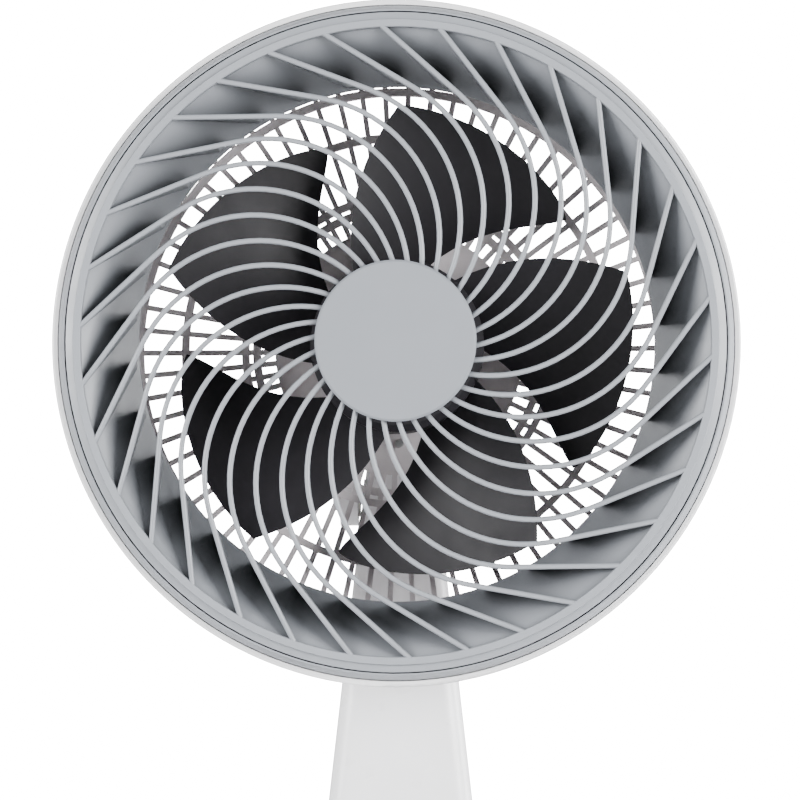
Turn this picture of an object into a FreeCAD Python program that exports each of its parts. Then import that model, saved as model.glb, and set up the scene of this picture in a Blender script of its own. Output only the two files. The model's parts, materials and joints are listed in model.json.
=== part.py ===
"""Desk air circulator: a round head that tilts on a swivelling neck over a weighted base.

Millimetres.  +Z is up, +X is the fan's own left-to-right, and it blows towards -Y.  The origin is
the centre of the base's underside, on the swivel axis.  Head pieces are drawn about the head's axis,
which lies along Y at head_height.
"""
import FreeCAD, Part
import math
import os

import Sketcher

V = FreeCAD.Vector
X_AXIS = V(1, 0, 0)
Y_AXIS = V(0, 1, 0)
Z_AXIS = V(0, 0, 1)

DRIVING = {
    # head
    "head_height": 275.0, "head_radius": 125.0, "head_wall": 2.2, "front_plane": -97.0,
    "shell_front": -90.0, "shell_bend": 38.0, "shell_turn": -60.0, "rear_opening": 110.0,
    "grille_inner": 113.8, "grille_outer": 119.4, "throat_radius": 94.2, "throat_depth": 18.0,
    "rib_count": 34.0, "rib_radius": 0.98, "fin_thick": 1.3, "boss_radius": 27.0,
    "cap_radius": 29.2, "cap_thick": 2.4,
    # rear grille
    "bar_count": 70.0, "bar_width": 2.0, "ring_width": 2.8, "rear_front": -26.0, "rear_back": -22.5,
    "plate_radius": 47.0, "slot_outer": 54.0,
    # impeller
    "blade_count": 5.0, "blade_tip": 88.7, "hub_radius": 32.0, "hub_front": -72.0, "hub_back": -41.0,
    "blade_thick": 1.6,
    # motor
    "shaft_radius": 4.0, "bearing_radius": 8.0, "motor_radius": 29.0, "stator_inner": 15.6,
    "rotor_radius": 15.0, "bolt_circle": 35.0, "bolt_hole": 1.6,
    # pod and tilt hinge
    "pod_radius": 42.0, "pod_back": 11.0, "hinge_drop": 54.0, "hinge_y": 4.0, "ear_radius": 12.0,
    "ear_inner": 16.2, "ear_outer": 23.2, "pin_radius": 3.0, "barrel_radius": 6.0,
    # neck
    "neck_foot": 40.0, "neck_waist": 22.3, "waist_height": 150.0, "neck_slope": 0.1139,
    "neck_front": -9.0, "neck_back": 17.0, "neck_round": 7.0, "neck_wall": 2.4,
    "neck_screw_inset": 9.0,
    # swivel and base
    "turret_radius": 46.0, "turret_low": 34.7, "spindle_radius": 12.0, "base_radius": 88.0,
    "base_top": 34.0, "base_low": 2.0, "base_wall": 2.5, "base_round": 11.0, "post_circle": 47.0,
    "foot_inner": 70.0, "foot_outer": 76.0, "inlet_height": 17.8,
    "tooth_module": 0.8, "gear_teeth": 54.0, "pinion_teeth": 18.0, "gear_low": 18.0, "gear_thick": 5.0,
    "button_radius": 5.5, "button_circle": 62.0, "button_step": 14.0, "button_travel": 1.0,
}

NECK_SCREW_LEVELS = (62, 176)
TURRET_SCREWS = [(x, y) for x in (-22, 22) for y in (-3, 11)]
BUTTON_NAMES = ["timer_button", "speed_down_button", "power_button", "speed_up_button", "swing_button"]
AXIS_TURN = {"X": (Y_AXIS, 90), "Y": (X_AXIS, -90), "Z": (Z_AXIS, 0)}
FORWARDS = (X_AXIS, 90)


class Size:
    """A length with two faces: its text, which binds features to the sheet, and its value."""

    def __init__(self, text, value):
        self.text = text
        self.value = float(value)

    def __add__(self, other):
        other = size(other)
        return Size(f"({self.text} + {other.text})", self.value + other.value)

    def __sub__(self, other):
        other = size(other)
        return Size(f"({self.text} - {other.text})", self.value - other.value)

    def __mul__(self, other):
        other = size(other)
        return Size(f"({self.text} * {other.text})", self.value * other.value)

    def __truediv__(self, other):
        other = size(other)
        return Size(f"({self.text} / {other.text})", self.value / other.value)

    def __radd__(self, other):
        return size(other) + self

    def __rsub__(self, other):
        return size(other) - self

    def __rmul__(self, other):
        return size(other) * self

    def __neg__(self):
        return size(0) - self

    def __float__(self):
        return self.value


def size(number):
    """The number itself if it is a Size, or a plain number as one."""
    return number if isinstance(number, Size) else Size(f"{float(number):.6f}", number)


def root(number):
    return Size(f"sqrt({number.text})", math.sqrt(number.value))


doc = FreeCAD.newDocument("air_circulator")
sheet = doc.addObject("Spreadsheet::Sheet", "Sizes")
for row, (alias, number) in enumerate(DRIVING.items(), start=1):
    sheet.set(f"A{row}", alias)
    sheet.set(f"B{row}", str(number))
    sheet.setAlias(f"B{row}", alias)
doc.recompute()
d = type("Driving", (), {alias: Size(f"Sizes.{alias}", number) for alias, number in DRIVING.items()})

PARTS = []
HEAD = (0, 0, d.head_height)
ORIGIN = (0, 0, 0)


# ---------------------------------------------------------------- drawing helpers

def keep(node, label):
    """Names a finished sub-part and lists it for export."""
    node.Label = label
    PARTS.append(node)
    return node


def place(node, where, turn=None):
    """Puts a node's origin at three sizes, and optionally turns it about one axis."""
    numbers = [size(item) for item in where]
    rotation = FreeCAD.Rotation(*turn) if turn else FreeCAD.Rotation()
    node.Placement = FreeCAD.Placement(V(*[float(item) for item in numbers]), rotation)
    for axis, item in zip("xyz", numbers):
        if "Sizes" in item.text:
            node.setExpression(f".Placement.Base.{axis}", item.text)
    return node


def new_body(name, where=ORIGIN):
    return place(doc.addObject("PartDesign::Body", name), where)


def new_sketch(body, plane, name):
    sketch = body.newObject("Sketcher::SketchObject", name)
    support = [item for item in body.Origin.OriginFeatures if item.Role == plane][0]
    sketch.AttachmentSupport = [(support, "")]
    sketch.MapMode = "FlatFace"
    return sketch


def pin_point(sketch, edge, end, point):
    """Binds one end of an edge to its two coordinates."""
    for kind, value in zip(("DistanceX", "DistanceY"), point):
        index = sketch.addConstraint(Sketcher.Constraint(kind, edge, end, float(value)))
        if "Sizes" in size(value).text:
            sketch.setExpression(f"Constraints[{index}]", size(value).text)


def outline(sketch, points):
    """A closed outline.  A point is (x, y), or (x, y, (mid x, mid y)) if an arc leads to it."""
    count = len(points)
    for index in range(count):
        start = points[index]
        finish = points[(index + 1) % count]
        first = V(float(start[0]), float(start[1]), 0)
        last = V(float(finish[0]), float(finish[1]), 0)
        if len(finish) == 3:
            middle = V(float(finish[2][0]), float(finish[2][1]), 0)
            edge = sketch.addGeometry(Part.Arc(first, middle, last), False)
            near, far = (1, 2) if sketch.getPoint(edge, 1).distanceToPoint(first) < 1e-4 else (2, 1)
            radius = sketch.Geometry[edge].Radius
            sketch.addConstraint(Sketcher.Constraint("Radius", edge, radius))
        else:
            edge = sketch.addGeometry(Part.LineSegment(first, last), False)
            near, far = 1, 2
        pin_point(sketch, edge, near, start)
        if index:
            sketch.addConstraint(Sketcher.Constraint("Coincident", edge, near, previous, previous_far))
        previous, previous_far = edge, far
    closing = first_end(sketch, points)
    sketch.addConstraint(Sketcher.Constraint("Coincident", previous, previous_far, 0, closing))


def first_end(sketch, points):
    """Which end of the first edge is the outline's first point."""
    start = V(float(points[0][0]), float(points[0][1]), 0)
    return 1 if sketch.getPoint(0, 1).distanceToPoint(start) < 1e-4 else 2


def circles(sketch, items):
    """Circles given as (x, y, radius)."""
    for x, y, radius in items:
        edge = sketch.addGeometry(Part.Circle(V(float(x), float(y), 0), Z_AXIS, float(radius)), False)
        pin_point(sketch, edge, 3, (x, y))
        index = sketch.addConstraint(Sketcher.Constraint("Radius", edge, float(radius)))
        if "Sizes" in size(radius).text:
            sketch.setExpression(f"Constraints[{index}]", size(radius).text)


def revolve(body, points, along="Y", kind="Revolution"):
    """Turns an outline of (radius, axial place) once round the body's Y or Z axis."""
    plane = "XY_Plane" if along == "Y" else "XZ_Plane"
    sketch = new_sketch(body, plane, body.Name + "_profile")
    outline(sketch, points)
    feature = body.newObject("PartDesign::" + kind, body.Name + "_" + kind.lower())
    feature.Profile = sketch
    feature.ReferenceAxis = (sketch, ["V_Axis"])
    feature.Angle = 360
    doc.recompute()
    return feature


def extrude(body, plane, draw, items, length, offset=0, kind="Pad", flip=False, middle=False):
    """Pads or pockets a drawing by a length, from a plane that may be offset."""
    sketch = new_sketch(body, plane, body.Name + "_drawing")
    sketch.AttachmentOffset = FreeCAD.Placement(V(0, 0, float(offset)), FreeCAD.Rotation())
    if "Sizes" in size(offset).text:
        sketch.setExpression(".AttachmentOffset.Base.z", size(offset).text)
    draw(sketch, items)
    feature = body.newObject("PartDesign::" + kind, body.Name + "_" + kind.lower())
    feature.Profile = sketch
    if length is None:
        feature.Type = 1
    else:
        feature.Length = float(length)
        feature.setExpression("Length", size(length).text)
    feature.Reversed = flip
    feature.Midplane = middle
    before = body.Shape.Volume if kind == "Pocket" else None
    doc.recompute()
    if before is not None and not body.Shape.Volume < before - 1e-6:
        raise RuntimeError(f"{body.Name}: a pocket cuts nothing")
    return feature


def round_edges(body, chosen, radius, kind="Fillet"):
    """Fillets or chamfers the tip's edges that the test accepts."""
    tip = body.Tip
    names = [f"Edge{i}" for i, edge in enumerate(tip.Shape.Edges, start=1) if chosen(edge)]
    if not names:
        raise RuntimeError(f"{body.Name}: no edge to round")
    feature = body.newObject("PartDesign::" + kind, body.Name + "_" + kind.lower())
    feature.Base = (tip, names)
    name = "Radius" if kind == "Fillet" else "Size"
    setattr(feature, name, float(radius))
    feature.setExpression(name, size(radius).text)
    doc.recompute()
    return feature


def ring_at(radius, axial, along="Y"):
    """A test for the circular edge of one radius at one axial place."""
    def test(edge):
        if not hasattr(edge.Curve, "Radius") or abs(edge.Curve.Radius - float(radius)) > 0.01:
            return False
        return abs(getattr(edge.Curve.Center, along.lower()) - float(axial)) < 0.01
    return test


def rectangle(x0, x1, y0, y1):
    return [(x0, y0), (x1, y0), (x1, y1), (x0, y1)]


def turned(label, points, along="Y", where=ORIGIN):
    """A sub-part made by turning one outline about its axis."""
    body = new_body(label, where)
    revolve(body, points, along)
    return keep(body, label)


def cylinder(name, radius, length, where, along="Z"):
    """A Part::Cylinder from a point, running the positive way along an axis."""
    node = doc.addObject("Part::Cylinder", name)
    node.Radius = float(radius)
    node.Height = float(length)
    node.setExpression("Radius", size(radius).text)
    node.setExpression("Height", size(length).text)
    return place(node, where, AXIS_TURN[along])


def block(name, dims, where, turn=None):
    node = doc.addObject("Part::Box", name)
    for side, item in zip(("Length", "Width", "Height"), dims):
        setattr(node, side, float(item))
        node.setExpression(side, size(item).text)
    return place(node, where, turn)


def fuse(name, nodes):
    node = doc.addObject("Part::MultiFuse", name)
    node.Shapes = nodes
    node.Refine = True
    doc.recompute()
    return node


def cut(name, base, tools):
    node = doc.addObject("Part::Cut", name)
    node.Base = base
    node.Tool = tools[0] if len(tools) == 1 else fuse(name + "_tools", tools)
    doc.recompute()
    return node


def group(label, nodes):
    """Separate identical pieces under one name."""
    node = doc.addObject("Part::Compound", label)
    node.Links = nodes
    doc.recompute()
    return keep(node, label)


def screw(name, tip, along, head_radius, head_height, shank_radius, length):
    """A pan-head screw with a cross recess.  tip is the shank's end; the head is further along."""
    x, y, z = [size(item) for item in tip]
    step = {"X": (1, 0, 0), "Y": (0, 1, 0), "Z": (0, 0, 1)}[along[-1]]
    sign = -1 if along.startswith("-") else 1
    reach = length + head_height
    def point(distance):
        return tuple(item + axis * sign * distance for item, axis in zip((x, y, z), step))
    low_shank = point(length) if sign < 0 else point(0)
    low_head = point(reach) if sign < 0 else point(length)
    shank = cylinder(name + "_shank", shank_radius, length, low_shank, along[-1])
    head = cylinder(name + "_head", head_radius, head_height, low_head, along[-1])
    deep = head_height * 0.55
    centre = point(reach - deep / 2)
    slots = []
    for turned_over in (False, True):
        long_side, short_side = head_radius * 1.2, head_radius * 0.28
        spans = [long_side, short_side] if turned_over else [short_side, long_side]
        dims = [deep if axis else spans.pop() for axis in step]
        corner = tuple(item - dim / 2 for item, dim in zip(centre, dims))
        slots.append(block(name + "_slot", dims, corner))
    return cut(name, fuse(name + "_blank", [shank, head]), slots)


def coded(label, shape, where=ORIGIN, turn=None):
    """A sub-part whose shape is worked out in code from the sheet's sizes."""
    node = doc.addObject("Part::Feature", label)
    node.Shape = shape
    place(node, where, turn)
    return keep(node, label)


def polar(radius, degrees):
    angle = math.radians(degrees)
    return radius * math.cos(angle), radius * math.sin(angle)


# ---------------------------------------------------------------- head: shell and grilles

SHELL_CENTRE = (d.head_radius - d.shell_bend, d.shell_turn)
FLANGE_BACK = d.shell_front + 8


def shell_point(bend, fall):
    """A point of the shell's rounded back, at a share of the bend's run down to the rear opening."""
    across = (d.rear_opening - SHELL_CENTRE[0]) * bend / d.shell_bend
    across = across + (bend - across) * fall
    return SHELL_CENTRE[0] + across, SHELL_CENTRE[1] + root(bend * bend - across * across)


def head_shell():
    """The deep white drum: open front and rear, with an inner flange that carries the grille."""
    inner = d.head_radius - d.head_wall
    inner_bend = d.shell_bend - d.head_wall
    outer_end = shell_point(d.shell_bend, 0)
    inner_end = shell_point(inner_bend, 0)
    points = [
        (inner, d.shell_front), (d.head_radius, d.shell_front), (d.head_radius, d.shell_turn),
        outer_end + (shell_point(d.shell_bend, 0.6),),
        inner_end,
        (inner, d.shell_turn, shell_point(inner_bend, 0.6)),
        (inner, FLANGE_BACK), (inner - 7, FLANGE_BACK), (inner - 7, FLANGE_BACK - 2),
        (inner, FLANGE_BACK - 2),
    ]
    body = new_body("head_shell", HEAD)
    revolve(body, points)
    round_edges(body, ring_at(d.head_radius, d.shell_front), 1.0)
    keep(body, "head_shell")


def rib_path(turn):
    """A rib's centre line: two arcs from the boss, then a straight run out to the grille's rim."""
    start_radius, start_angle, heading = 29.2, -3.06, 12.52
    inner_bend, inner_run, outer_bend, outer_run, straight_run = 50.83, 74.97, 59.37, 10.0, 38.8
    x, y = polar(start_radius, start_angle)
    edges = []
    lead = V(math.cos(math.radians(heading)), math.sin(math.radians(heading)), 0)
    start = V(x, y, 0)
    edges.append(Part.LineSegment(start - lead * 5.0, start))
    for bend, run in ((inner_bend, inner_run), (outer_bend, outer_run)):
        centre = start + V(-lead.y, lead.x, 0) * bend
        swing = run / bend
        spokes = [FreeCAD.Rotation(Z_AXIS, math.degrees(swing * share)) for share in (0.5, 1.0)]
        middle, end = [centre + spoke.multVec(start - centre) for spoke in spokes]
        edges.append(Part.Arc(start, middle, end))
        lead = spokes[1].multVec(lead)
        start = end
    edges.append(Part.LineSegment(start, start + lead * straight_run))
    spin = FreeCAD.Rotation(Z_AXIS, turn)
    wire = Part.Wire([edge.toShape() for edge in edges])
    wire.Placement = FreeCAD.Placement(V(0, 0, 0), spin)
    return wire


def solid_of_turn(points):
    """A solid from (radius, y) points, drawn about Z with +Z forwards, so that z is minus y."""
    corners = [V(float(x), 0, -float(y)) for x, y in points]
    face = Part.Face(Part.makePolygon(corners + corners[:1]))
    return face.revolve(V(0, 0, 0), Z_AXIS, 360)


def front_grille():
    """One moulding: centre boss, curved ribs, fins that stand on the flared guide, and the rim.

    It is drawn lying on its back, with +Z forwards and zero at the front plane, then stood up.
    """
    lip, rim, throat = float(d.grille_inner), float(d.grille_outer), float(d.throat_radius)
    deep, rib, boss = float(d.throat_depth), float(d.rib_radius), float(d.boss_radius)
    rim_wall = solid_of_turn([
        (lip, 0.5), (lip + 0.3, 0), (lip + 2.8, 0), (lip + 3.0, 1.0), (rim, 2.0), (rim, 12.9),
        (rim - 2.2, 12.9),
        (rim - 2.2, 4.6), (lip + 1.2, 4.6), (throat + 1.8, deep + 1.4), (throat + 1.8, deep + 2.4),
        (throat, deep + 2.4), (throat, deep), (lip, 2.4)])
    centre = solid_of_turn([
        (0, 1.2), (boss, 1.2), (boss, 6.0), (boss - 2.4, 6.0), (boss - 2.4, 3.6), (0, 3.6)])
    fin_space = solid_of_turn([
        (throat + 1.0, rib), (lip + 0.6, rib), (lip + 0.6, 2.9), (throat + 1.0, deep + 0.4)])
    ribs, fins = [], []
    step = 360.0 / float(d.rib_count)
    for number in range(int(d.rib_count.value)):
        path = rib_path(number * step)
        start = path.Edges[0].valueAt(path.Edges[0].FirstParameter)
        lead = path.Edges[0].tangentAt(path.Edges[0].FirstParameter)
        ring = Part.Wire([Part.Circle(start, lead, rib).toShape()])
        tube = path.makePipeShell([ring], True, False)
        tube.translate(V(0, 0, -rib))
        ribs.append(tube)
        fins.append(fin_wall(path.Edges[-1], float(d.fin_thick)))
    shape = rim_wall.multiFuse([centre] + ribs + [fin.common(fin_space) for fin in fins])
    coded("front_grille", shape, (0, d.front_plane, d.head_height), FORWARDS)


def fin_wall(line, thick):
    """A wall of even thickness under a rib's straight run, deeper than the guide."""
    first, last = [vertex.Point for vertex in line.Vertexes]
    lead = (last - first).normalize()
    side = V(-lead.y, lead.x, 0) * (thick / 2)
    corners = [first + side, last + side, last - side, first - side]
    return Part.Face(Part.makePolygon(corners + corners[:1])).extrude(V(0, 0, -30))


def hub_cap():
    """The plain disc that hides the middle of the ribs, with a spigot into the boss."""
    front = d.front_plane - d.cap_thick
    back = d.front_plane - 0.02
    body = new_body("hub_cap", HEAD)
    revolve(body, [(0, front), (d.cap_radius, front), (d.cap_radius, back - 0.9), (d.boss_radius, back),
                   (d.boss_radius - 5, back), (d.boss_radius - 5, back + 1.15), (0, back + 1.15)])
    round_edges(body, ring_at(d.cap_radius, front), 0.8, "Chamfer")
    keep(body, "hub_cap")


def bezel_ring():
    """The outer grey trim ring, which falls back outside the grille's rim."""
    inner, outer = d.grille_outer + 0.5, d.head_radius - d.head_wall - 0.4
    front = d.front_plane + 2.2
    turned("bezel_ring", [(inner, front), (inner + 0.6, front), (outer, front + 4.0),
                          (outer, FLANGE_BACK - 2.1), (inner, FLANGE_BACK - 2.1)], where=HEAD)


def rear_grille():
    """Radial bars joined by rings, dished to meet the shell, round a slotted motor plate."""
    front, back = float(d.rear_front), float(d.rear_back)
    edge, plate, slots = float(d.rear_opening) - 1.6, float(d.plate_radius), float(d.slot_outer)
    fall, deep = 6.0, back - front

    def dish(inner, outer, extra=0.0):
        """A ring of the dish, whose surface falls towards the front beyond the outer rings."""
        def level(radius):
            return back - fall * max(0.0, (radius - slots) / (edge - slots)) ** 2
        rows = max(1, round((outer - inner) / 15))
        radii = [inner + (outer - inner) * row / rows for row in range(rows + 1)]
        top = [(radius, level(radius) + extra) for radius in radii]
        low = [(radius, level(radius) - deep - extra) for radius in reversed(radii)]
        return solid_of_turn(top + low)

    half = float(d.ring_width) / 2
    rings = [dish(radius - half, radius + half, 0.3) for radius in (58.3, 81.0, 98.0)]
    rings.append(dish(edge - 2.6, edge, 0.3))
    rings.append(dish(slots - 1.5, slots + 1.5))
    middle = solid_of_turn(rectangle(float(d.shaft_radius) + 6, plate, front, back))
    lane = dish(plate - 0.5, edge - 1.0)
    count = int(d.bar_count.value)
    bars = []
    for number in range(count):
        bar = Part.makeBox(edge, float(d.bar_width), 30, V(plate - 1, -float(d.bar_width) / 2, 15))
        bar.rotate(V(0, 0, 0), Z_AXIS, 360.0 * (number + 0.1) / count)
        bars.append(bar)
    bar_set = lane.common(Part.makeCompound(bars))
    holes = []
    for number in range(4):
        x, y = polar(float(d.bolt_circle), 90 * number)
        holes.append(Part.makeCylinder(float(d.bolt_hole), 40, V(x, y, 10)))
    shape = middle.multiFuse(rings + bar_set.Solids).cut(Part.makeCompound(holes))
    coded("rear_grille", shape, HEAD, FORWARDS)


# ---------------------------------------------------------------- head: impeller and motor

def impeller():
    """Five wide swept blades on a cup-shaped hub that turns on the motor's shaft."""
    hub_radius, front, back = float(d.hub_radius), float(d.hub_front), float(d.hub_back)
    hub = solid_of_turn([
        (float(d.shaft_radius) + 0.01, front + 2), (hub_radius - 6, front), (hub_radius - 2.5, front + 1),
        (hub_radius, front + 4), (hub_radius, back), (hub_radius - 2.2, back),
        (hub_radius - 2.2, front + 5), (hub_radius - 6, front + 3.2), (10, front + 4),
        (10, back - 4), (float(d.shaft_radius) + 0.01, back - 4)])
    parts = []
    for number in range(int(d.blade_count.value)):
        one = blade()
        one.rotate(V(0, 0, 0), Z_AXIS, 360.0 / float(d.blade_count) * number)
        parts.append(one)
    coded("impeller", hub.multiFuse(parts), HEAD, FORWARDS)


def blade():
    """One blade: two smooth faces a wall apart, closed round their edges, from inside the hub out.

    Angles run anticlockwise seen from the front.  Chord runs from the front edge to the rear edge.
    """
    root_radius, tip_radius = float(d.hub_radius) - 1.2, float(d.blade_tip)
    half = float(d.blade_thick) / 2
    faces = []
    for side in (half, -half):
        grid = [[blade_point(chord / 10, span / 6, root_radius, tip_radius, side) for span in range(7)]
                for chord in range(11)]
        surface = Part.BSplineSurface()
        surface.interpolate(grid)
        faces.append(surface)
    shells = [surface.toShape() for surface in faces]
    for edge_of in (lambda f: f.uIso(0), lambda f: f.uIso(1), lambda f: f.vIso(0), lambda f: f.vIso(1)):
        one, two = [edge_of(surface).toShape() for surface in faces]
        shells.append(Part.makeRuledSurface(one, two))
    shell = Part.makeShell([face for item in shells for face in item.Faces])
    shell.sewShape()
    solid = Part.makeSolid(shell)
    if solid.Volume < 0:
        solid.reverse()
    return solid


def blade_point(chord, span, root_radius, tip_radius, side):
    """A surface point: chord runs from the front edge to the rear edge, span from root to tip."""
    tip = tip_radius - 8.0 * chord ** 1.2 - 1.5 * chord ** 12
    radius = root_radius + (tip - root_radius) * span
    share = (radius - root_radius) / (tip_radius - root_radius)
    front_angle = 121.0 - 31.5 * share ** 0.9
    rear_angle = 71.8 - 45.0 * share ** 0.9 + 4.0 * span ** 6
    angle = front_angle + (rear_angle - front_angle) * chord
    depth = 26.0 - 1.0 * share
    axial = float(d.hub_front) + 3.0 + depth * (chord + 0.10 * math.sin(math.pi * chord))
    taper = 1.0 - 0.55 * abs(2 * chord - 1) ** 3
    x, y = polar(radius, angle)
    return V(x, y, -axial - side * taper)


def motor():
    """An enclosed brushless motor behind the rear grille's plate, with its shaft to the impeller."""
    bearing, shaft, outer = d.bearing_radius, d.shaft_radius, d.motor_radius
    plate_back = d.rear_back + 0.1
    flange = new_body("motor_front_bracket", HEAD)
    revolve(flange, [(bearing - 2, plate_back), (39, plate_back), (39, plate_back + 2.6),
                     (outer, plate_back + 2.6), (outer, plate_back + 10), (outer - 2, plate_back + 10),
                     (outer - 2, plate_back + 2.6), (bearing + 2.5, plate_back + 2.6),
                     (bearing + 2.5, plate_back + 6), (bearing, plate_back + 6),
                     (bearing, plate_back + 1), (bearing - 2, plate_back + 1)])
    bolt = d.bolt_circle
    spots = [(x, y, d.bolt_hole) for x, y in ((bolt, 0), (0, bolt), (-bolt, 0), (0, -bolt))]
    extrude(flange, "XZ_Plane", circles, spots, None, kind="Pocket", offset=-(plate_back - 3))
    keep(flange, "motor_front_bracket")
    core_front = plate_back + 10.05
    core_back = core_front + 8
    rear = core_back + 0.05
    turned("motor_rear_bracket", [
        (outer - 2, rear), (outer, rear), (outer, rear + 9), (bearing, rear + 9), (bearing, rear + 3),
        (bearing + 2.5, rear + 3), (bearing + 2.5, rear + 7), (outer - 2, rear + 7)], where=HEAD)
    stator(core_front, core_back)
    turned("rotor_core", [(shaft + 0.01, core_front - 0.5), (12.4, core_front - 0.5),
                          (12.4, core_back + 0.5), (shaft + 0.01, core_back + 0.5)], where=HEAD)
    turned("rotor_magnet", [(12.45, core_front - 0.5), (d.rotor_radius, core_front - 0.5),
                            (d.rotor_radius, core_back + 0.5), (12.45, core_back + 0.5)], where=HEAD)
    turned("front_bearing", [(shaft + 0.03, plate_back + 1.02), (bearing, plate_back + 1.02),
                             (bearing, plate_back + 5.8), (shaft + 0.03, plate_back + 5.8)], where=HEAD)
    turned("rear_bearing", [(shaft + 0.03, rear + 3.2), (bearing, rear + 3.2), (bearing, rear + 8),
                            (shaft + 0.03, rear + 8)], where=HEAD)
    shaft_front = d.hub_front - 4
    body = new_body("motor_shaft", HEAD)
    revolve(body, [(0, shaft_front), (shaft, shaft_front), (shaft, rear + 8.4), (0, rear + 8.4)])
    round_edges(body, ring_at(shaft, shaft_front), 0.6, "Chamfer")
    keep(body, "motor_shaft")
    nut = new_body("impeller_nut", HEAD)
    revolve(nut, [(shaft + 0.02, d.hub_front + 1.9), (shaft + 0.02, shaft_front - 0.2),
                  (0, shaft_front - 0.2), (0, shaft_front - 2.6), (8, shaft_front - 2.6),
                  (10.5, shaft_front + 0.5), (10.5, d.hub_front + 0.2)])
    keep(nut, "impeller_nut")
    driver_back = rear + 9.2
    board = new_body("motor_driver_board", HEAD)
    revolve(board, rectangle(6, 27, driver_back, driver_back + 1.4))
    keep(board, "motor_driver_board")
    nodes = []
    for number in range(4):
        x, z = polar(float(bolt), 90 * number)
        tip = (x, d.rear_front - 1.0, d.head_height + z)
        nodes.append(screw(f"motor_screw_{number}", tip, "Y", 2.9, 2.0, 1.5, 7.2))
    group("motor_screws", nodes)


def stator(front, back):
    """A slotted laminated ring and one coil round each tooth."""
    inner, outer = float(d.stator_inner), float(d.motor_radius)
    low, high = float(front), float(back)
    ring = solid_of_turn(rectangle(outer - 4.5, outer, low, high))
    shoes = solid_of_turn(rectangle(inner, inner + 1.8, low, high))
    teeth, gaps, coils = [], [], []
    for number in range(6):
        tooth = Part.makeBox(outer - 3 - inner - 0.5, 5, high - low, V(inner + 0.5, -2.5, -high))
        gap = Part.makeBox(6, 2.4, high - low, V(inner - 2, -1.2, -high))
        gap.rotate(V(0, 0, 0), Z_AXIS, 30)
        coil = Part.makeBox(5.2, 10.6, high - low + 6, V(18.4, -5.3, -high - 3))
        coil = coil.makeFillet(1.5, [edge for edge in coil.Edges if abs(edge.tangentAt(0).x) > 0.9])
        coil = coil.cut(Part.makeBox(8, 5.2, high - low + 0.2, V(17, -2.6, -high - 0.1)))
        for piece in (tooth, gap, coil):
            piece.rotate(V(0, 0, 0), Z_AXIS, 60 * number)
        teeth.append(tooth)
        gaps.append(gap)
        coils.append(coil)
    core = ring.multiFuse([shoes] + teeth).cut(Part.makeCompound(gaps))
    coded("stator_core", core, HEAD, FORWARDS)
    coded("stator_coils", Part.makeCompound(coils), HEAD, FORWARDS)


# ---------------------------------------------------------------- head: pod and tilt hinge

def pod_cover():
    """The motor's rear cover, with the two ears that hang it on the neck."""
    radius, back, front = d.pod_radius, d.pod_back, d.rear_back + 0.1
    body = new_body("pod_cover", HEAD)
    revolve(body, [(radius - 2.2, front), (radius, front), (radius - 1.2, back), (0, back),
                   (0, back - 2.4), (radius - 3.4, back - 2.4)])
    round_edges(body, ring_at(radius - 1.2, back), 6)
    round_edges(body, ring_at(radius - 3.4, back - 2.4), 4)
    hinge = -d.hinge_drop
    reach = d.ear_radius * math.sqrt(0.5)
    ear = [(d.hinge_y - d.ear_radius, -36), (d.hinge_y - d.ear_radius, hinge),
           (d.hinge_y, hinge - d.ear_radius, (d.hinge_y - reach, hinge - reach)),
           (d.hinge_y + d.ear_radius, hinge, (d.hinge_y + reach, hinge - reach)),
           (d.hinge_y + 4, -36)]
    width = d.ear_outer - d.ear_inner
    extrude(body, "YZ_Plane", outline, ear, width, offset=d.ear_inner)
    extrude(body, "YZ_Plane", outline, ear, width, offset=-d.ear_outer)
    extrude(body, "YZ_Plane", circles, [(d.hinge_y, hinge, d.pin_radius + 0.02)], 60, kind="Pocket",
            middle=True)
    spots = [polar(27, 90 + 120 * number) for number in range(3)]
    extrude(body, "XZ_Plane", circles, [spot + (3.0,) for spot in spots], 1.8, offset=-back, kind="Pocket",
            flip=True)
    extrude(body, "XZ_Plane", circles, [spot + (1.45,) for spot in spots], 6, offset=-back, kind="Pocket",
            flip=True)
    keep(body, "pod_cover")
    nodes = []
    for number, (x, z) in enumerate(spots):
        tip = (x, back - 4.6, d.head_height + z)
        nodes.append(screw(f"pod_screw_{number}", tip, "Y", 2.8, 1.5, 1.4, 2.82))
    group("pod_screws", nodes)


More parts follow.
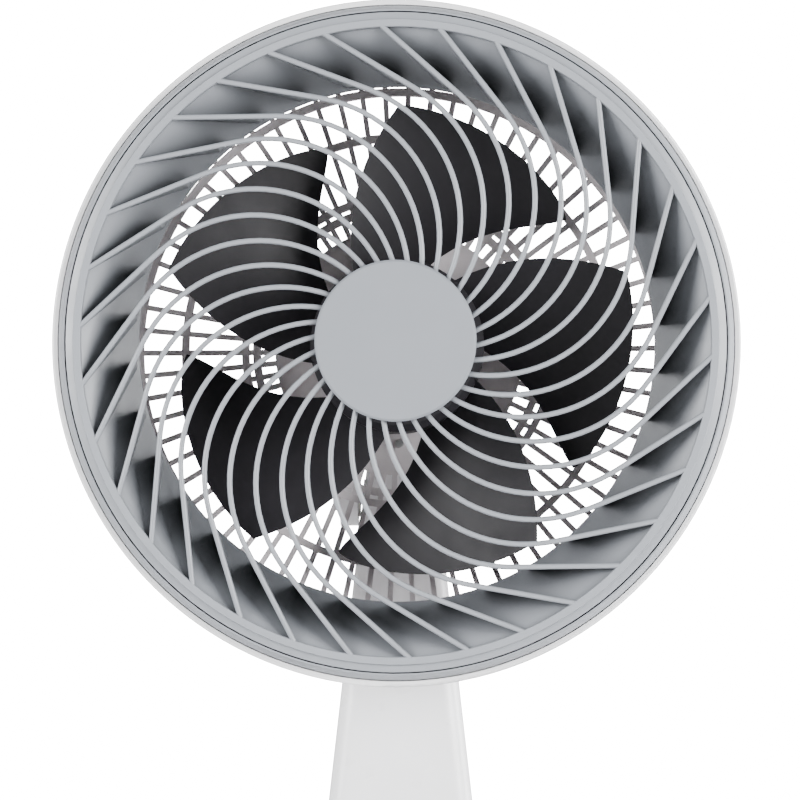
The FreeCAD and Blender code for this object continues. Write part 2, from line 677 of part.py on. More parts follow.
def tilt_hinge():
    """A cross pin held by the ears turns, with friction, in a steel barrel inside the neck's top."""
    height = d.head_height - d.hinge_drop
    reach = d.ear_outer + 0.2
    pin = cylinder("pin_body", d.pin_radius, reach * 2 + 3.6, (-reach, d.hinge_y, height), "X")
    head = cylinder("pin_head", 6, 2.6, (-reach - 2.6, d.hinge_y, height), "X")
    keep(fuse("hinge_pin", [pin, head]), "hinge_pin")
    nut = new_body("hinge_nut", (reach, d.hinge_y, height))
    corners = [polar(6.2, 60 * number) for number in range(6)]
    extrude(nut, "YZ_Plane", outline, corners, 3.4)
    extrude(nut, "YZ_Plane", circles, [(0, 0, d.pin_radius)], 10, kind="Pocket", middle=True)
    keep(nut, "hinge_nut")
    washers = []
    for side, start in (("left", -d.ear_inner + 0.1), ("right", d.ear_inner - 0.8)):
        disc = cylinder(f"washer_{side}", 8.5, 0.7, (start, d.hinge_y, height), "X")
        hole = cylinder(f"washer_hole_{side}", d.pin_radius + 0.05, 1, (start - 0.3, d.hinge_y, height), "X")
        washers.append(cut(f"friction_washer_{side}", disc, [hole]))
    group("friction_washers", washers)
    length = neck_half(height) * 2
    outer = cylinder("barrel_outer", d.barrel_radius, length, (-length / 2, d.hinge_y, height), "X")
    inner = cylinder("barrel_inner", d.pin_radius + 0.05, length + 2,
                     (-length / 2 - 1, d.hinge_y, height), "X")
    keep(cut("hinge_barrel", outer, [inner]), "hinge_barrel")


# ---------------------------------------------------------------- neck and swivel

def neck_half(height):
    """Half the neck's width at a height: it widens evenly towards the foot."""
    return d.neck_waist + d.neck_slope * (d.waist_height - height)


def neck_screw_spots():
    """Two pairs of screws, each a set way in from the neck's sides."""
    return [(side * float(neck_half(level) - d.neck_screw_inset), level)
            for level in NECK_SCREW_LEVELS for side in (-1, 1)]


def neck_shell(label, front, back, outer_face):
    """One half of the neck's tapered casing, split across its depth."""
    top = d.head_height - d.hinge_drop + d.ear_radius - 0.6
    low, hinge = d.neck_foot, d.head_height - d.hinge_drop
    body = new_body(label)
    wide = [(-neck_half(low), low), (neck_half(low), low), (neck_half(top), top), (-neck_half(top), top)]
    extrude(body, "XZ_Plane", outline, wide, back - front, offset=-front, flip=True)
    outer_y = float(outer_face)

    def long_side(edge):
        ends = edge.Vertexes
        rises = len(ends) == 2 and abs(ends[0].Z - ends[1].Z) > 50
        return rises and all(abs(end.Y - outer_y) < 0.01 for end in ends)

    round_edges(body, long_side, d.neck_round)
    wall = d.neck_wall
    hollow_top = hinge - d.barrel_radius - 8
    inside = [(wall - neck_half(low + wall), low + wall), (neck_half(low + wall) - wall, low + wall),
              (neck_half(hollow_top) - wall - 2, hollow_top), (wall + 2 - neck_half(hollow_top), hollow_top)]
    if outer_face is front:
        extrude(body, "XZ_Plane", outline, inside, back - front - wall, offset=-back, kind="Pocket",
                flip=True)
    else:
        extrude(body, "XZ_Plane", outline, inside, back - front - wall, offset=-front, kind="Pocket")
    bosses = neck_screw_spots()
    deep = back - front - 1.0
    extrude(body, "XZ_Plane", circles, [spot + (4.4,) for spot in bosses], deep,
            offset=-(front + 1.0) if outer_face is front else -front, flip=True)
    if outer_face is front:
        extrude(body, "XZ_Plane", circles, [spot + (1.32,) for spot in bosses], 8, offset=-back,
                kind="Pocket", flip=True)
    else:
        extrude(body, "XZ_Plane", circles, [spot + (1.5,) for spot in bosses], 30, offset=-front,
                kind="Pocket")
        extrude(body, "XZ_Plane", circles, [spot + (2.9,) for spot in bosses], 2.6, offset=-back,
                kind="Pocket", flip=True)
    y = -3 if outer_face is front else 11
    spots = [spot + (1.32,) for spot in TURRET_SCREWS if spot[1] == y]
    extrude(body, "XY_Plane", circles, spots, 5, offset=low + 4, kind="Pocket")
    crown = d.ear_radius - 0.6
    side = -1 if outer_face is front else 1
    far = d.hinge_y + side * (crown + 12)
    edge_y = d.hinge_y + side * crown
    arch = [(d.hinge_y, hinge + crown), (d.hinge_y, top + 5), (far, top + 5), (far, hinge - 14),
            (outer_face + side * 0.01, hinge - 14), (edge_y, hinge)]
    middle = (d.hinge_y + side * crown * math.sqrt(0.5), hinge + crown * math.sqrt(0.5))
    arch[0] = arch[0] + (middle,)
    extrude(body, "YZ_Plane", outline, arch, 120, kind="Pocket", middle=True)
    extrude(body, "YZ_Plane", circles, [(d.hinge_y, hinge, d.barrel_radius + 0.02)], 120, kind="Pocket",
            middle=True)
    keep(body, label)


def neck():
    split = d.hinge_y
    neck_shell("neck_front_shell", d.neck_front, split - 0.02, d.neck_front)
    neck_shell("neck_rear_shell", split + 0.02, d.neck_back, d.neck_back)
    nodes = []
    for number, (across, level) in enumerate(neck_screw_spots()):
        nodes.append(screw(f"neck_screw_{number}", (across, split - 5, level), "Y", 2.6, 1.8, 1.3,
                           d.neck_back - split + 5 - 2.58))
    group("neck_screws", nodes)
    lead = new_body("motor_lead", (0, split, 0))
    extrude(lead, "XY_Plane", circles, [(-2.5, -1, 1.6)], 150, offset=d.neck_foot + 5)
    keep(lead, "motor_lead")


def swivel():
    """The turret that carries the neck, its hollow spindle, and the gear that swings it."""
    low, top, spindle = d.turret_low, d.neck_foot, d.spindle_radius
    turret = new_body("swivel_turret")
    revolve(turret, [(spindle - 2.5, top), (spindle - 2.5, 16), (spindle, 16), (spindle, low),
                     (d.turret_radius - 1.5, low), (d.turret_radius, low + 1.2), (d.turret_radius, top)],
            along="Z")
    round_edges(turret, ring_at(d.turret_radius, top, "Z"), 2.5)
    extrude(turret, "XY_Plane", circles, [spot + (1.4,) for spot in TURRET_SCREWS], 10, offset=top + 1,
            kind="Pocket")
    extrude(turret, "XY_Plane", circles, [spot + (2.9,) for spot in TURRET_SCREWS], 1.8, offset=low,
            kind="Pocket", flip=True)
    keep(turret, "swivel_turret")
    gear = gear_solid(int(d.gear_teeth.value), d.gear_thick, 0.0)
    bore = Part.makeCylinder(float(spindle) + 0.02, 30, V(0, 0, -5))
    coded("swivel_gear", gear.cut(bore), (0, 0, d.gear_low))
    turned("gear_retainer", rectangle(spindle - 2.4, 16.5, 14.4, 15.95), along="Z")
    turned("swivel_bush", [(spindle + 0.05, 24.2), (spindle + 3, 24.2), (spindle + 3, d.base_top + 0.05),
                           (spindle + 0.05, d.base_top + 0.05)], along="Z")
    turned("thrust_washer", rectangle(20, 38, d.base_top + 0.02, d.turret_low - 0.05), along="Z")
    nodes = []
    for number, (x, y) in enumerate(TURRET_SCREWS):
        nodes.append(screw(f"turret_screw_{number}", (x, y, 43.2), "-Z", 2.6, 1.4, 1.3, 6.72))
    group("turret_screws", nodes)


def gear_solid(teeth, thick, turn):
    """A spur gear with involute flanks of 20 degrees, slightly thinned for backlash."""
    module = float(d.tooth_module)
    pitch = module * teeth / 2
    tip, foot, base = pitch + module, pitch - 1.25 * module, pitch * math.cos(math.radians(20))
    involute = math.tan(math.radians(20)) - math.radians(20)
    half_tooth = math.pi / (2 * teeth) - 0.05 / pitch

    def flank(radius):
        press = math.acos(min(1.0, base / radius))
        return half_tooth + involute - (math.tan(press) - press)

    start = max(base, foot)
    radii = [start + (tip - start) * step / 5 for step in range(6)]
    edges = []
    previous = None
    for number in range(teeth):
        middle = 2 * math.pi * number / teeth + math.radians(turn)
        rise = [V(*polar(r, math.degrees(middle - flank(r))), 0) for r in radii]
        fall = [V(*polar(r, math.degrees(middle + flank(r))), 0) for r in reversed(radii)]
        low = [V(*polar(foot, math.degrees(middle + sign * flank(start))), 0) for sign in (-1, 1)]
        if previous is not None:
            edges.append(Part.LineSegment(previous, low[0]))
        else:
            first = low[0]
        if start - foot > 1e-6:
            edges.append(Part.LineSegment(low[0], rise[0]))
        for run in (rise, fall):
            curve = Part.BSplineCurve()
            curve.interpolate(run)
            if run is fall:
                edges.append(Part.LineSegment(rise[-1], fall[0]))
            edges.append(curve)
        if start - foot > 1e-6:
            edges.append(Part.LineSegment(fall[-1], low[1]))
        previous = low[1]
    edges.append(Part.LineSegment(previous, first))
    wire = Part.Wire([edge.toShape() for edge in edges])
    return Part.Face(wire).extrude(V(0, 0, float(thick)))


# ---------------------------------------------------------------- base

def base_shells():
    wall, low, top, radius = d.base_wall, d.base_low, d.base_top, d.base_radius
    bush = d.spindle_radius + 3.02
    shell = new_body("base_top_shell")
    revolve(shell, [(bush, top), (bush, 24.2), (bush + 3, 24.2), (bush + 3, top - wall),
                    (radius - wall, top - wall), (radius - wall, low + 1), (radius, low + 1), (radius, top)],
            along="Z")
    round_edges(shell, ring_at(radius, top, "Z"), d.base_round)
    round_edges(shell, ring_at(radius - wall, top - wall, "Z"), d.base_round - wall)
    posts = [polar(float(d.post_circle), 45 + 90 * number) for number in range(4)]
    extrude(shell, "XY_Plane", circles, [spot + (3.6,) for spot in posts], top - wall + 0.5 - (low + 2.65),
            offset=low + 2.65)
    extrude(shell, "XY_Plane", circles, [spot + (1.52,) for spot in posts], 9, offset=low + 2.65,
            kind="Pocket", flip=True)
    spots = [button_spot(number) + (d.button_radius + 0.6,) for number in range(5)]
    extrude(shell, "XY_Plane", circles, spots, 20, offset=top + 2, kind="Pocket")
    extrude(shell, "XZ_Plane", circles, [(0, d.inlet_height, 5.1)], 20, offset=-(radius + 2),
            kind="Pocket", flip=True)
    keep(shell, "base_top_shell")
    plate = new_body("base_bottom_plate")
    revolve(plate, [(0, low), (radius - 1.2, low), (radius - 1.2, low + 0.9),
                    (radius - wall - 0.3, low + 0.9), (radius - wall - 0.3, low + 2.6), (0, low + 2.6)],
            along="Z")
    groove = [(0, 0, d.foot_outer + 0.05), (0, 0, d.foot_inner - 0.05)]
    extrude(plate, "XY_Plane", circles, groove, 2, offset=low - 1, kind="Pocket", flip=True)
    extrude(plate, "XY_Plane", circles, [spot + (1.6,) for spot in posts], 9, offset=low - 1, kind="Pocket",
            flip=True)
    extrude(plate, "XY_Plane", circles, [spot + (3.4,) for spot in posts], 2.3, offset=low - 1,
            kind="Pocket", flip=True)
    keep(plate, "base_bottom_plate")
    foot = new_body("rubber_foot_ring")
    revolve(foot, rectangle(d.foot_inner, d.foot_outer, 0, low + 0.95), along="Z")
    round_edges(foot, lambda edge: abs(edge.CenterOfMass.z) < 0.01 and len(edge.Vertexes) == 1, 0.6,
                "Chamfer")
    keep(foot, "rubber_foot_ring")
    turned("ballast_weight", rectangle(54, 80, low + 2.65, low + 10), along="Z")
    nodes = []
    for number, (x, y) in enumerate(posts):
        nodes.append(screw(f"base_screw_{number}", (x, y, low + 9.3), "-Z", 3.2, 1.2, 1.5, 8.02))
    group("base_screws", nodes)


def button_spot(number):
    """Where one of the five buttons sits, on an arc along the base's front."""
    angle = math.radians(-90 + (number - 2) * DRIVING["button_step"])
    return d.button_circle * math.cos(angle), d.button_circle * math.sin(angle)


def controls():
    """A trim inlay, five push buttons that travel onto switches, lamps, and the board under them."""
    top = d.base_top
    inner, outer, half_angle = 53.5, 70.5, 38.0
    ends = [polar(outer, -90 - half_angle), polar(outer, -90 + half_angle), polar(inner, -90 + half_angle),
            polar(inner, -90 - half_angle)]
    inlay = [ends[0], ends[1] + ((0, -outer),), ends[2], ends[3] + ((0, -inner),)]
    panel = new_body("control_panel")
    extrude(panel, "XY_Plane", outline, inlay, 0.6, offset=top + 0.02)
    round_edges(panel, lambda edge: len(edge.Vertexes) == 2
                and abs(edge.Vertexes[0].Z - edge.Vertexes[1].Z) > 0.3, 5)
    spots = [button_spot(number) + (d.button_radius + 0.35,) for number in range(5)]
    extrude(panel, "XY_Plane", circles, spots, 10, offset=top + 5, kind="Pocket")
    lamp_spots = [polar(72.6, -90 + 7 * step) for step in (-3, -1, 1, 3)]
    keep(panel, "control_panel")
    for number, label in enumerate(BUTTON_NAMES):
        push_button(label, button_spot(number))
    lamps = [cylinder(f"lamp_{number}", 1.0, 1.0, (x, y, top + 0.05)) for number, (x, y) in
             enumerate(lamp_spots)]
    group("indicator_lamps", lamps)
    board_low = 21.6
    board = new_body("control_board")
    extrude(board, "XY_Plane", outline, rectangle(-36, 36, -72, -47), 1.6, offset=board_low)
    keep(board, "control_board")
    switches = []
    for number in range(5):
        x, y = button_spot(number)
        can = block(f"switch_can_{number}", (6, 6, 3.2), (x - 3, y - 3, board_low + 1.62))
        plunger = cylinder(f"switch_plunger_{number}", 1.7, 0.8, (x, y, board_low + 4.8))
        switches.append(fuse(f"tact_switch_{number}", [can, plunger]))
    group("tact_switches", switches)
    socket = new_body("power_inlet", (0, 0, d.inlet_height))
    rear = d.base_radius - 0.4
    revolve(socket, [(2.8, rear), (4.9, rear), (4.9, rear - 1.9), (4.4, rear - 1.9), (4.4, rear - 14),
                     (0, rear - 14), (0, rear - 11), (2.8, rear - 11)])
    keep(socket, "power_inlet")
    stepper()


def push_button(label, spot):
    """A domed cap with a hidden flange and a stem that stops just above its switch."""
    x, y = spot
    top, radius = d.base_top, d.button_radius
    under = top - d.base_wall
    body = new_body(label, (x, y, 0))
    revolve(body, [(0, under - 3.8 + d.button_travel), (2, under - 3.8 + d.button_travel), (2, under - 1.4),
                   (radius + 1.8, under - 1.4), (radius + 1.8, under - 0.2), (radius, under - 0.2),
                   (radius, top + 1.8), (0, top + 1.8)], along="Z")
    round_edges(body, ring_at(radius, top + 1.8, "Z"), 0.8)
    keep(body, label)


def stepper():
    """The small geared stepper whose pinion swings the spindle's gear."""
    distance = d.tooth_module * (d.gear_teeth + d.pinion_teeth) / 2 + 0.06
    can = new_body("swing_motor", (0, distance + 5, 0))
    revolve(can, rectangle(0, 14, 4.65, 16.6), along="Z")
    extrude(can, "XY_Plane", outline, rectangle(-17.5, 17.5, -3.5, 3.5), 1.0, offset=15.6)
    extrude(can, "XY_Plane", circles, [(0, -5, 1.6)], 20, offset=30, kind="Pocket")
    keep(can, "swing_motor")
    pinion = gear_solid(int(d.pinion_teeth.value), d.gear_thick - 0.4, 90)
    stub = Part.makeCylinder(1.5, 5, V(0, 0, -4.5))
    coded("swing_pinion", pinion.fuse(stub), (0, distance, d.gear_low + 0.2))


# ---------------------------------------------------------------- build, test and write

head_shell()
front_grille()
hub_cap()
bezel_ring()
rear_grille()
impeller()
motor()
pod_cover()
tilt_hinge()
neck()
swivel()
base_shells()
controls()
doc.recompute()

failed = [item.Name for item in doc.Objects if {"Invalid", "Error"} & set(item.State)]
if failed:
    raise RuntimeError("failed: " + ", ".join(failed))
os.makedirs("parts", exist_ok=True)
for node in PARTS:
    shape = node.Shape
    if shape.isNull() or not shape.isValid() or not shape.Solids:
        raise RuntimeError(f"{node.Label}: no valid solid")
    shape.exportStep(f"parts/{node.Label}.step")
    print(f"{node.Label}: {len(shape.Solids)} solids, {shape.Volume / 1000:.2f} cm3")
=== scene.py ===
"""Looks of the desk air circulator: studio, camera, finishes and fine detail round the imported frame."""
import json
import math

import bmesh
import bpy
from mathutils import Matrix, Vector


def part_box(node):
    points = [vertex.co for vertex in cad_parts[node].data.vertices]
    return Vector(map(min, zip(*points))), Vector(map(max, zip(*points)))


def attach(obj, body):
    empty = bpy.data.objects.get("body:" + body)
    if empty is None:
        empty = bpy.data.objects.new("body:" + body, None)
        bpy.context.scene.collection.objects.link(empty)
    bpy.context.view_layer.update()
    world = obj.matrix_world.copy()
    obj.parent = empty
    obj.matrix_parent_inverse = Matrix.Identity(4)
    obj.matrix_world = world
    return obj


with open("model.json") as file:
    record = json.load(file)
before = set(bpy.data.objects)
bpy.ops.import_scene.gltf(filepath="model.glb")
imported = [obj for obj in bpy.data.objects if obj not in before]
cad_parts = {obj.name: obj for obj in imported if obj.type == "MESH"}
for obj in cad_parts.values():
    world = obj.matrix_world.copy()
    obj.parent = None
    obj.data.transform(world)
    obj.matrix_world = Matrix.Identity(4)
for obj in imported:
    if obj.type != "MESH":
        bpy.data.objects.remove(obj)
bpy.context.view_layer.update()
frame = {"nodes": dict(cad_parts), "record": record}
nodes = frame["nodes"]
scene = bpy.context.scene

GRILLE_LOW, GRILLE_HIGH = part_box("front_grille")
HEAD_CENTRE = Vector((0.0, GRILLE_LOW.y, (GRILLE_LOW.z + GRILLE_HIGH.z) / 2))
# Depth span just behind the grille's front over which shade is painted into the grille's colour.
GUIDE_SHADE = (GRILLE_LOW.y + 0.004, GRILLE_LOW.y + 0.017)
MILLIMETRE = 0.001
MARK_WIDTH = 0.5 * MILLIMETRE
FILM_FLATNESS = 0.25
FLOOR_RADIUS, FLOOR_FADE = 1.3, (0.35, 1.25)
BACKDROP_WHITE = 24.0


# ---------------------------------------------------------------- node material helpers

class Shader:
    """A Principled material with short ways to add the nodes that vary over its surface."""

    def __init__(self, name, colour, roughness, **sockets):
        self.material = bpy.data.materials.new(name)
        self.material.use_nodes = True
        self.tree = self.material.node_tree
        self.shader = self.tree.nodes["Principled BSDF"]
        self.shader.inputs["Base Color"].default_value = (*colour, 1.0)
        self.shader.inputs["Roughness"].default_value = roughness
        for socket, value in sockets.items():
            self.shader.inputs[socket.replace("_", " ")].default_value = value
        self.colour = colour
        self.paint = None
        self.normal = None
        self.place = self.tree.nodes.new("ShaderNodeTexCoord").outputs["Object"]

    def node(self, kind, **inputs):
        made = self.tree.nodes.new("ShaderNode" + kind)
        for name, value in inputs.items():
            made.inputs[name.replace("_", " ")].default_value = value
        return made

    def link(self, source, target):
        self.tree.links.new(source, target)

    def noise(self, scale, detail=3.0, roughness=0.5, stretch=None):
        made = self.node("TexNoise", Scale=scale, Detail=detail, Roughness=roughness)
        place = self.place
        if stretch:
            mapping = self.node("Mapping")
            mapping.inputs["Scale"].default_value = stretch
            self.link(place, mapping.inputs["Vector"])
            place = mapping.outputs["Vector"]
        self.link(place, made.inputs["Vector"])
        return made.outputs["Fac"]

    def spread(self, source, low, high, from_low=0.3, from_high=0.7):
        made = self.node("MapRange")
        ends = {"From Min": from_low, "From Max": from_high, "To Min": low, "To Max": high}
        for name, value in ends.items():
            made.inputs[name].default_value = value
        self.link(source, made.inputs["Value"])
        return made.outputs["Result"]

    def vary_colour(self, source, amount):
        """Lightens and darkens the colour a little where the source varies."""
        ramp = self.tree.nodes.new("ShaderNodeValToRGB")
        low, high = ramp.color_ramp.elements
        low.position, high.position = 0.3, 0.7
        low.color = (*[part * (1 - amount) for part in self.colour], 1)
        high.color = (*[min(1.0, part * (1 + amount)) for part in self.colour], 1)
        self.link(source, ramp.inputs["Fac"])
        self.paint = ramp.outputs["Color"]
        self.link(self.paint, self.shader.inputs["Base Color"])

    def vary_roughness(self, source, low, high):
        self.link(self.spread(source, low, high), self.shader.inputs["Roughness"])

    def soften(self, radius, worn, strength):
        """Rounds the look of hard edges, and rubs them to a second colour where a noise lets it."""
        bevel = self.node("Bevel", Radius=radius)
        bevel.samples = 4
        self.normal = bevel.outputs["Normal"]
        flat = self.tree.nodes.new("ShaderNodeNewGeometry")
        turn = self.tree.nodes.new("ShaderNodeVectorMath")
        turn.operation = "DOT_PRODUCT"
        self.link(bevel.outputs["Normal"], turn.inputs[0])
        self.link(flat.outputs["Normal"], turn.inputs[1])
        edge = self.spread(turn.outputs["Value"], strength, 0.0, 0.86, 0.995)
        patch = self.spread(self.noise(160.0, 4.0, 0.6), 0.25, 1.0, 0.4, 0.62)
        both = self.tree.nodes.new("ShaderNodeMath")
        both.operation = "MULTIPLY"
        both.use_clamp = True
        self.link(edge, both.inputs[0])
        self.link(patch, both.inputs[1])
        mix = self.tree.nodes.new("ShaderNodeMixRGB")
        mix.inputs["Color2"].default_value = (*worn, 1.0)
        self.link(both.outputs["Value"], mix.inputs["Fac"])
        self.link(self.paint, mix.inputs["Color1"])
        self.link(mix.outputs["Color"], self.shader.inputs["Base Color"])
        self.link(self.normal, self.shader.inputs["Normal"])

    def painted_shade(self, reach, shade_colour, walls_shade, depth_shade, first, last):
        """Paints shade into the colour: it darkens towards a near-black shade colour where nearby walls
        close the surface in, and again with depth along Y.
        """
        # Painted shade: ambient occlusion and depth along Y both darken the colour towards the shade colour.
        closed = self.node("AmbientOcclusion", Distance=reach)
        closed.samples = 16
        split = self.tree.nodes.new("ShaderNodeSeparateXYZ")
        self.link(self.place, split.inputs["Vector"])
        shade_amount = self.tree.nodes.new("ShaderNodeMath")
        shade_amount.operation = "ADD"
        shade_amount.use_clamp = True
        self.link(self.spread(closed.outputs["AO"], walls_shade, 0.0, 0.15, 0.95), shade_amount.inputs[0])
        self.link(self.spread(split.outputs["Y"], 0.0, depth_shade, first, last), shade_amount.inputs[1])
        mix = self.tree.nodes.new("ShaderNodeMixRGB")
        mix.inputs["Color2"].default_value = (*shade_colour, 1.0)
        self.link(shade_amount.outputs["Value"], mix.inputs["Fac"])
        self.link(self.paint, mix.inputs["Color1"])
        self.paint = mix.outputs["Color"]

    def bump(self, source, strength, distance):
        made = self.node("Bump", Strength=strength, Distance=distance)
        self.link(source, made.inputs["Height"])
        if self.normal is not None:
            self.link(self.normal, made.inputs["Normal"])
        self.normal = made.outputs["Normal"]
        self.link(self.normal, self.shader.inputs["Normal"])


def moulded(name, colour, roughness, grain=2600.0, depth=0.00003, mottle=0.03, round_off=0.0003,
            painted_shade=None, **sockets):
    """Injection-moulded plastic: a fine spark texture, faint flow mottling and uneven gloss, with painted
    shade in hollows and with depth where it is asked for.
    """
    made = Shader(name, colour, roughness, **sockets)
    made.vary_colour(made.noise(38.0, 4.0, 0.55), mottle)
    # Painted shade: the colour darkens in hollows and further back along Y.
    if painted_shade:
        made.painted_shade(*painted_shade)
    made.soften(round_off, [min(1.0, part * 1.25 + 0.02) for part in colour], 0.6)
    made.vary_roughness(made.noise(90.0, 5.0, 0.6), roughness - 0.05, roughness + 0.06)
    made.bump(made.noise(grain, 2.0, 0.5), 0.35, depth)
    made.bump(made.noise(55.0, 2.0, 0.5), 0.10, 0.0002)
    return made.material


def brushed(name, colour, roughness, stretch=(1.0, 1.0, 40.0), **sockets):
    """Turned or drawn metal, with fine streaks one way."""
    made = Shader(name, colour, roughness, Metallic=1.0, **sockets)
    streaks = made.noise(420.0, 4.0, 0.6, stretch)
    made.vary_colour(streaks, 0.08)
    made.soften(0.0002, [min(1.0, part * 1.2) for part in colour], 0.8)
    made.vary_roughness(streaks, roughness - 0.08, roughness + 0.12)
    made.bump(streaks, 0.25, 0.00002)
    return made.material


def cast(name, colour, roughness, metallic, grain, depth):
    """Cast or sintered stock, pitted all over."""
    made = Shader(name, colour, roughness, Metallic=metallic)
    pits = made.noise(grain, 6.0, 0.65)
    made.vary_colour(pits, 0.14)
    made.soften(0.0004, [min(1.0, part * 1.4 + 0.02) for part in colour], 0.8)
    made.vary_roughness(pits, roughness - 0.1, roughness + 0.1)
    made.bump(pits, 0.5, depth)
    return made.material


MATERIALS = {
    # The grille gets painted shade: near black where walls close in and deeper behind its front.
    "grille_grey": lambda: moulded("grille_grey", (0.265, 0.28, 0.305), 0.36, mottle=0.02,
                                    painted_shade=(0.030, (0.010, 0.011, 0.013), 0.60, 0.50,
                                            *GUIDE_SHADE)),
    "cap_grey": lambda: moulded("cap_grey", (0.23, 0.245, 0.27), 0.48, mottle=0.02, round_off=0.0002),
    "rear_grey": lambda: moulded("rear_grey", (0.62, 0.58, 0.60), 0.50, mottle=0.04),
    "shell_white": lambda: moulded("shell_white", (0.86, 0.86, 0.87), 0.30, mottle=0.012),
    "blade_dark": lambda: moulded("blade_dark", (0.018, 0.017, 0.020), 0.46, mottle=0.10,
                                   Specular_IOR_Level=0.18),
    "base_grey": lambda: moulded("base_grey", (0.35, 0.36, 0.37), 0.55),
    "bare_steel": lambda: brushed("bare_steel", (0.60, 0.60, 0.61), 0.32),
    "lamination_steel": lambda: brushed("lamination_steel", (0.30, 0.30, 0.32), 0.45, (1.0, 90.0, 1.0)),
    "motor_aluminium": lambda: cast("motor_aluminium", (0.66, 0.67, 0.68), 0.42, 1.0, 900.0, 0.00006),
    "winding_copper": lambda: brushed("winding_copper", (0.62, 0.27, 0.12), 0.30, (1.0, 120.0, 1.0)),
    "magnet_black": lambda: cast("magnet_black", (0.05, 0.05, 0.055), 0.50, 0.2, 1200.0, 0.00003),
    "acetal_natural": lambda: moulded("acetal_natural", (0.80, 0.79, 0.73), 0.38),
    "ballast_iron": lambda: cast("ballast_iron", (0.10, 0.10, 0.105), 0.62, 0.85, 420.0, 0.00025),
    "soft_rubber": lambda: moulded("soft_rubber", (0.028, 0.028, 0.029), 0.74, grain=900.0, depth=0.00008),
    "board_green": lambda: moulded("board_green", (0.02, 0.13, 0.06), 0.34, grain=1500.0),
    "panel_gloss": lambda: moulded("panel_gloss", (0.16, 0.17, 0.18), 0.16, depth=0.000005, Coat_Weight=0.6),
    "button_grey": lambda: moulded("button_grey", (0.55, 0.57, 0.60), 0.46, grain=1800.0),
    "lamp_clear": lambda: moulded("lamp_clear", (0.80, 0.88, 0.92), 0.12, depth=0.000005),
}


def dress_frame():
    """Gives every carried-over CAD node the finish of its slot."""
    made = {slot: make() for slot, make in MATERIALS.items()}
    slots = {item["node"]: item["material_slot"] for item in frame["record"]["subparts"]}
    for name, node in nodes.items():
        node.data.materials.clear()
        node.data.materials.append(made[slots[name]])
    return made


# ---------------------------------------------------------------- fine detail

def strokes(name, body, lines, place, width, finish):
    """A printed mark: strokes that lie on a surface, as a thin raised film."""
    data = bpy.data.curves.new(name, "CURVE")
    data.dimensions = "3D"
    data.bevel_depth = width / 2
    data.bevel_resolution = 2
    data.use_fill_caps = True
    for line in lines:
        run = data.splines.new("POLY")
        run.points.add(len(line) - 1)
        for point, (x, y) in zip(run.points, line):
            point.co = (x, y, 0.0, 1.0)
    made = bpy.data.objects.new(name, data)
    made.location = place
    made.scale = (1.0, 1.0, FILM_FLATNESS)
    scene.collection.objects.link(made)
    data.materials.append(finish)
    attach(made, body)


def arc(radius, first, last, count=24):
    """Points along a circle, by angles in degrees anticlockwise from +X."""
    angles = [math.radians(first + (last - first) * step / count) for step in range(count + 1)]
    return [(radius * math.cos(angle), radius * math.sin(angle)) for angle in angles]


def button_marks(finish):
    """Generic symbols: clock, minus, power, plus and a two-way swing arrow."""
    swing = arc(2.6, 205, 335)
    left, right = swing[0], swing[-1]
    marks = {
        "timer_button": [arc(2.5, 0, 360), [(0, 1.6), (0, 0), (1.1, -0.7)]],
        "speed_down_button": [[(-2.3, 0), (2.3, 0)]],
        "power_button": [arc(2.4, 125, 415), [(0, 3.0), (0, 0.6)]],
        "speed_up_button": [[(-2.3, 0), (2.3, 0)], [(0, -2.3), (0, 2.3)]],
        "swing_button": [swing, [(left[0] - 0.5, left[1] - 1.2), left, (left[0] + 1.3, left[1] - 0.2)],
                         [(right[0] + 0.5, right[1] - 1.2), right, (right[0] - 1.3, right[1] - 0.2)]],
    }
    for node, lines in marks.items():
        low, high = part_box(node)
        place = Vector(((low.x + high.x) / 2, (low.y + high.y) / 2, high.z))
        scaled = [[(x * MILLIMETRE, y * MILLIMETRE) for x, y in line] for line in lines]
        strokes(node + "_mark", node, scaled, place, MARK_WIDTH, finish)


# ---------------------------------------------------------------- studio

def area_light(name, place, target, size, power):
    data = bpy.data.lights.new(name, "AREA")
    data.shape = "RECTANGLE"
    data.size, data.size_y = size
    data.energy = power
    lamp = bpy.data.objects.new(name, data)
    lamp.location = place
    lamp.rotation_euler = (Vector(target) - Vector(place)).to_track_quat("-Z", "Y").to_euler()
    lamp.visible_camera = False
    scene.collection.objects.link(lamp)


def studio_world():
    """A white room: bright behind the object, dimmer in front of it, and plain white to look at."""
    world = bpy.data.worlds.new("studio")
    world.use_nodes = True
    tree = world.node_tree
    tree.nodes.clear()
    place = tree.nodes.new("ShaderNodeTexCoord")
    split = tree.nodes.new("ShaderNodeSeparateXYZ")
    depth = tree.nodes.new("ShaderNodeMapRange")
    for name, value in (("From Min", -0.2), ("From Max", 0.8), ("To Min", 0.08), ("To Max", 1.0)):
        depth.inputs[name].default_value = value
    glow = tree.nodes.new("ShaderNodeBackground")
    seen = tree.nodes.new("ShaderNodeBackground")
    seen.inputs["Color"].default_value = (1.0, 1.0, 1.0, 1.0)
    seen.inputs["Strength"].default_value = BACKDROP_WHITE
    ray = tree.nodes.new("ShaderNodeLightPath")
    choose = tree.nodes.new("ShaderNodeMixShader")
    out = tree.nodes.new("ShaderNodeOutputWorld")
    link = tree.links.new
    link(place.outputs["Generated"], split.inputs["Vector"])
    link(split.outputs["Y"], depth.inputs["Value"])
    link(depth.outputs["Result"], glow.inputs["Strength"])
    link(ray.outputs["Is Camera Ray"], choose.inputs["Fac"])
    link(glow.outputs["Background"], choose.inputs[1])
    link(seen.outputs["Background"], choose.inputs[2])
    link(choose.outputs["Shader"], out.inputs["Surface"])
    scene.world = world


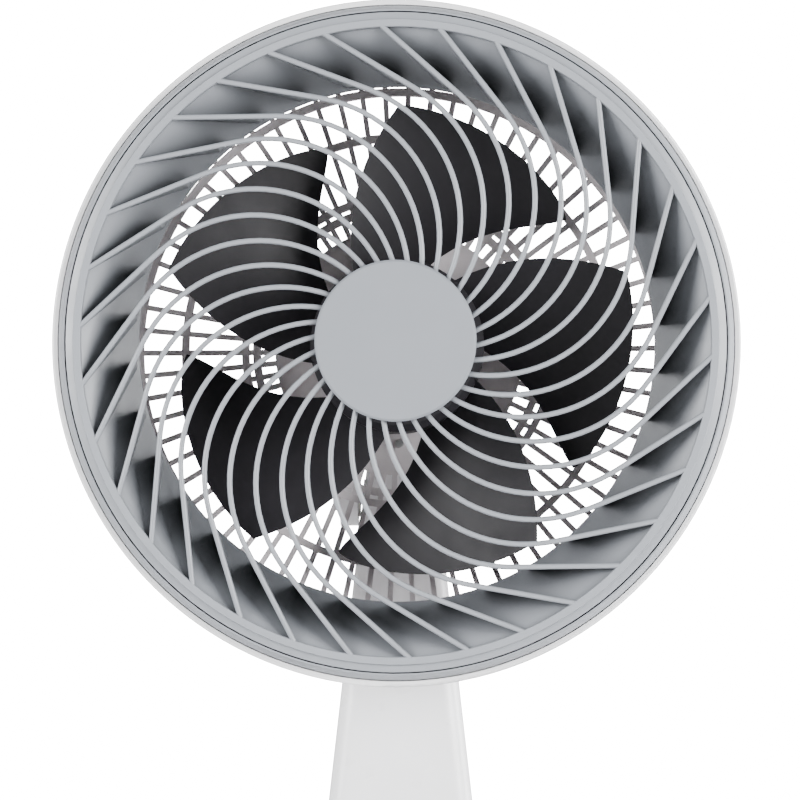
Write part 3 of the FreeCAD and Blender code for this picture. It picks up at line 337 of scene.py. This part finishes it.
def studio_floor():
    """A pale round of floor under the object that fades away before it meets the room."""
    mesh = bpy.data.meshes.new("studio_floor")
    build = bmesh.new()
    bmesh.ops.create_circle(build, cap_ends=True, segments=128, radius=FLOOR_RADIUS)
    build.to_mesh(mesh)
    build.free()
    floor = bpy.data.objects.new("studio_floor", mesh)
    scene.collection.objects.link(floor)
    paint = Shader("floor_pale", (0.90, 0.90, 0.91), 0.85)
    paint.vary_colour(paint.noise(6.0), 0.006)
    far = paint.tree.nodes.new("ShaderNodeVectorMath")
    far.operation = "LENGTH"
    paint.link(paint.place, far.inputs[0])
    fade = paint.spread(far.outputs["Value"], 0.0, 1.0, *FLOOR_FADE)
    clear = paint.tree.nodes.new("ShaderNodeBsdfTransparent")
    mix = paint.tree.nodes.new("ShaderNodeMixShader")
    paint.link(fade, mix.inputs["Fac"])
    paint.link(paint.shader.outputs["BSDF"], mix.inputs[1])
    paint.link(clear.outputs["BSDF"], mix.inputs[2])
    paint.link(mix.outputs["Shader"], paint.tree.nodes["Material Output"].inputs["Surface"])
    mesh.materials.append(paint.material)


def studio():
    studio_world()
    studio_floor()
    head = HEAD_CENTRE
    area_light("side_left", head + Vector((-1.45, -1.05, 0.30)), head, (0.95, 0.80), 66.0)
    area_light("side_right", head + Vector((1.45, -1.05, 0.30)), head, (0.95, 0.80), 80.0)
    area_light("edge_right", head + Vector((1.60, 0.35, 0.10)), head, (0.5, 0.9), 34.0)
    area_light("front_fill", head + Vector((0.1, -2.2, 0.5)), head, (0.5, 0.5), 2.0)


def camera():
    """A long lens a little below the head's height, looking up slightly at the head."""
    back, drop, aside = 1.400, 0.076, 0.028
    yaw, pitch = 0.01884, 0.0390
    data = bpy.data.cameras.new("camera")
    data.lens, data.sensor_width = 175.0, 36.0
    data.clip_end = 30.0
    made = bpy.data.objects.new("camera", data)
    made.location = HEAD_CENTRE + Vector((aside, -back, -drop))
    made.rotation_euler = (math.pi / 2 + pitch, 0.0, yaw)
    scene.collection.objects.link(made)
    scene.camera = made


finishes = dress_frame()
button_marks(finishes["panel_gloss"])
studio()
camera()
